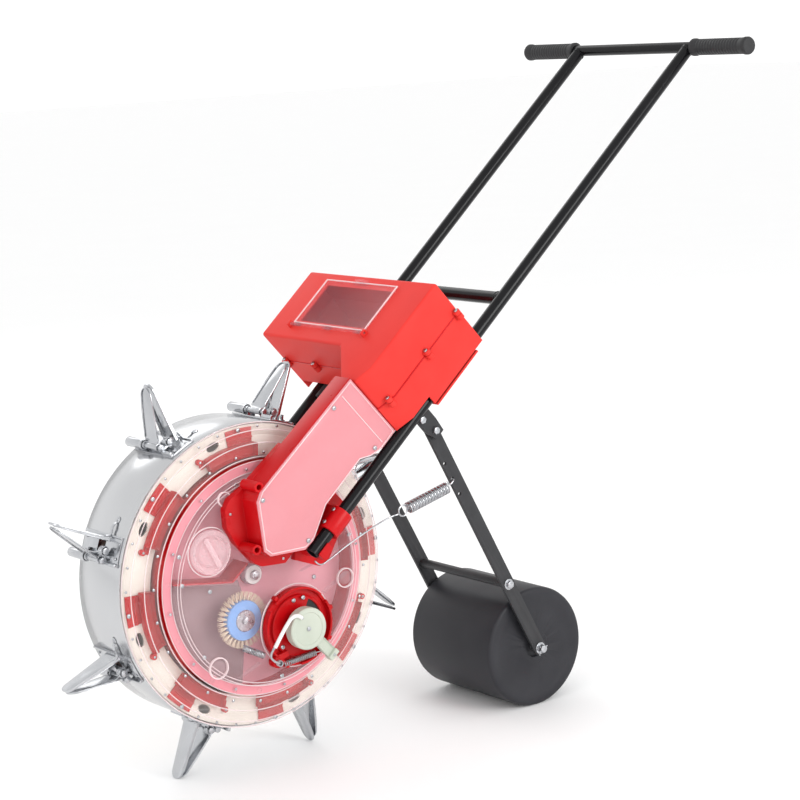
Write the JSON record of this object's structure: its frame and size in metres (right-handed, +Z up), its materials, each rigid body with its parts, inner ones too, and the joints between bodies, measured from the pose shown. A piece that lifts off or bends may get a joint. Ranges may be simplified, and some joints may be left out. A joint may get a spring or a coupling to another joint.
{
  "type": "push seeder",
  "caption": "Hand-pushed rotary seeder: steel drum with hinged openers, clear metering chamber, slanted hopper, two-tube handle and sprung press roller.",
  "frame": {"origin": "middle of the bounding box, on the ground", "axes": "+X towards the handle (the machine is pushed towards -X), +Y to the operator's right, +Z up"},
  "size_m": [1.1356, 0.52, 1.0274],
  "materials": {
    "steel": "polished",
    "zinc": "satin",
    "gloss_black": "gloss",
    "satin_grey": "satin",
    "grip_rubber": "ribbed matte",
    "red_casting": "gloss",
    "hopper_red": "semi gloss",
    "cream": "semi gloss",
    "clear": "clear",
    "clear_pane": "clear",
    "pale": "satin",
    "bristle": "bristle",
    "roller_grey": "matte"
  },
  "bodies": {
    "root": {"seed_chamber": "red_casting", "chamber_cover": "clear", "main_axle": "zinc", "meter_housing": "red_casting", "feed_chute": "red_casting", "chute_window": "clear_pane", "hopper_base": "hopper_red", "hopper_top": "hopper_red", "hopper_clamp_plate": "hopper_red", "handle_tube_left": "gloss_black", "handle_tube_right": "gloss_black", "handle_cross_bar": "gloss_black", "handle_bar": "gloss_black", "grip_left": "grip_rubber", "grip_right": "grip_rubber", "tube_clamp_left": "red_casting", "tube_clamp_right": "red_casting", "right_carrier": "satin_grey", "arm_bracket_left": "satin_grey", "arm_bracket_right": "satin_grey", "tension_spring": "zinc"},
    "drum": {"drum_band": "steel", "ring_window": "clear", "drum_side_plate": "cream", "seed_ring": "cream", "seed_cup_1": "red_casting", "seed_cup_2": "red_casting", "seed_cup_3": "red_casting", "seed_cup_4": "red_casting", "seed_cup_5": "red_casting", "seed_cup_6": "red_casting", "seed_cup_7": "red_casting", "seed_cup_8": "red_casting", "beak_fixed_1": "steel", "beak_fixed_2": "steel", "beak_fixed_3": "steel", "beak_fixed_4": "steel", "beak_fixed_5": "steel", "beak_fixed_6": "steel", "beak_fixed_7": "steel", "beak_fixed_8": "steel"},
    "flap_1": {"beak_flap_1": "steel"},
    "flap_2": {"beak_flap_2": "steel"},
    "flap_3": {"beak_flap_3": "steel"},
    "flap_4": {"beak_flap_4": "steel"},
    "flap_5": {"beak_flap_5": "steel"},
    "flap_6": {"beak_flap_6": "steel"},
    "flap_7": {"beak_flap_7": "steel"},
    "flap_8": {"beak_flap_8": "steel"},
    "brush": {"brush_wheel": "bristle"},
    "meter_rotor": {"meter_wheel": "pale"},
    "latch": {"meter_latch": "zinc"},
    "rate_cap": {"meter_cap": "pale"},
    "filler": {"filler_cap": "clear"},
    "door": {"hopper_door": "clear"},
    "roller_arm": {"arm_left": "satin_grey", "arm_right": "satin_grey", "arm_tie_bar": "satin_grey", "roller_axle": "zinc"},
    "roller": {"press_roller": "roller_grey"}
  },
  "joints": [
    {"name": "drum_spin", "type": "hinge", "parent": "root", "child": "drum", "pos_m": [-0.27403, 0, 0.2938], "axis": [0, -1, 0], "continuous": true},
    {"name": "beak_1_open", "type": "hinge", "parent": "drum", "child": "flap_1", "pos_m": [-0.21628, 0.02, 0.52208], "axis": [0, -1, 0], "range_deg": [0, 25], "stiffness_Nm_per_rad": 0.5, "springref_deg": -34.38},
    {"name": "beak_2_open", "type": "hinge", "parent": "drum", "child": "flap_2", "pos_m": [-0.39461, 0.02, 0.49605], "axis": [0, -1, 0], "range_deg": [0, 25], "stiffness_Nm_per_rad": 0.5, "springref_deg": -34.38},
    {"name": "beak_3_open", "type": "hinge", "parent": "drum", "child": "flap_3", "pos_m": [-0.50231, 0.02, 0.35156], "axis": [0, -1, 0], "range_deg": [0, 25], "stiffness_Nm_per_rad": 0.5, "springref_deg": -34.38},
    {"name": "beak_4_open", "type": "hinge", "parent": "drum", "child": "flap_4", "pos_m": [-0.47628, 0.02, 0.17322], "axis": [0, -1, 0], "range_deg": [0, 25], "stiffness_Nm_per_rad": 0.5, "springref_deg": -34.38},
    {"name": "beak_5_open", "type": "hinge", "parent": "drum", "child": "flap_5", "pos_m": [-0.33178, 0.02, 0.06553], "axis": [0, -1, 0], "range_deg": [0, 25], "stiffness_Nm_per_rad": 0.5, "springref_deg": -34.38},
    {"name": "beak_6_open", "type": "hinge", "parent": "drum", "child": "flap_6", "pos_m": [-0.15345, 0.02, 0.09155], "axis": [0, -1, 0], "range_deg": [0, 25], "stiffness_Nm_per_rad": 0.5, "springref_deg": -34.38},
    {"name": "beak_7_open", "type": "hinge", "parent": "drum", "child": "flap_7", "pos_m": [-0.04576, 0.02, 0.23605], "axis": [0, -1, 0], "range_deg": [0, 25], "stiffness_Nm_per_rad": 0.5, "springref_deg": -34.38},
    {"name": "beak_8_open", "type": "hinge", "parent": "drum", "child": "flap_8", "pos_m": [-0.07178, 0.02, 0.41438], "axis": [0, -1, 0], "range_deg": [0, 25], "stiffness_Nm_per_rad": 0.5, "springref_deg": -34.38},
    {"name": "brush_spin", "type": "hinge", "parent": "root", "child": "brush", "pos_m": [-0.30853, -0.055, 0.2358], "axis": [0, -1, 0], "continuous": true},
    {"name": "meter_spin", "type": "hinge", "parent": "root", "child": "meter_rotor", "pos_m": [-0.23253, -0.055, 0.2173], "axis": [0, -1, 0], "continuous": true},
    {"name": "latch_swing", "type": "hinge", "parent": "root", "child": "latch", "pos_m": [-0.27603, -0.096, 0.1718], "axis": [0, -1, 0], "range_deg": [0, 70], "stiffness_Nm_per_rad": 0.05, "springref_deg": -28.65},
    {"name": "rate_lever", "type": "hinge", "parent": "root", "child": "rate_cap", "pos_m": [-0.23253, -0.105, 0.2173], "axis": [0, -1, 0], "range_deg": [0, 30], "stiffness_Nm_per_rad": 0.1, "springref_deg": -28.65},
    {"name": "filler_twist", "type": "hinge", "parent": "root", "child": "filler", "pos_m": [-0.37263, -0.084, 0.352], "axis": [0, -1, 0], "range_deg": [0, 90]},
    {"name": "hopper_door_open", "type": "hinge", "parent": "root", "child": "door", "pos_m": [-0.08008, 0.018, 0.62856], "axis": [0, -1, 0], "range_deg": [0, 110]},
    {"name": "arm_swing", "type": "hinge", "parent": "root", "child": "roller_arm", "pos_m": [0.01216, 0, 0.47368], "axis": [0, 1, 0], "range_deg": [-20, 0], "stiffness_Nm_per_rad": 12, "springref_deg": 57.3, "deforming": ["tension_spring"]},
    {"name": "roller_spin", "type": "hinge", "parent": "roller_arm", "child": "roller", "pos_m": [0.20697, 0, 0.095], "axis": [0, -1, 0], "continuous": true}
  ],
  "couplings": [
    {"joint": "meter_spin", "follows": "drum_spin", "ratio": 0.66667},
    {"joint": "brush_spin", "follows": "drum_spin", "ratio": -0.55556}
  ]
}
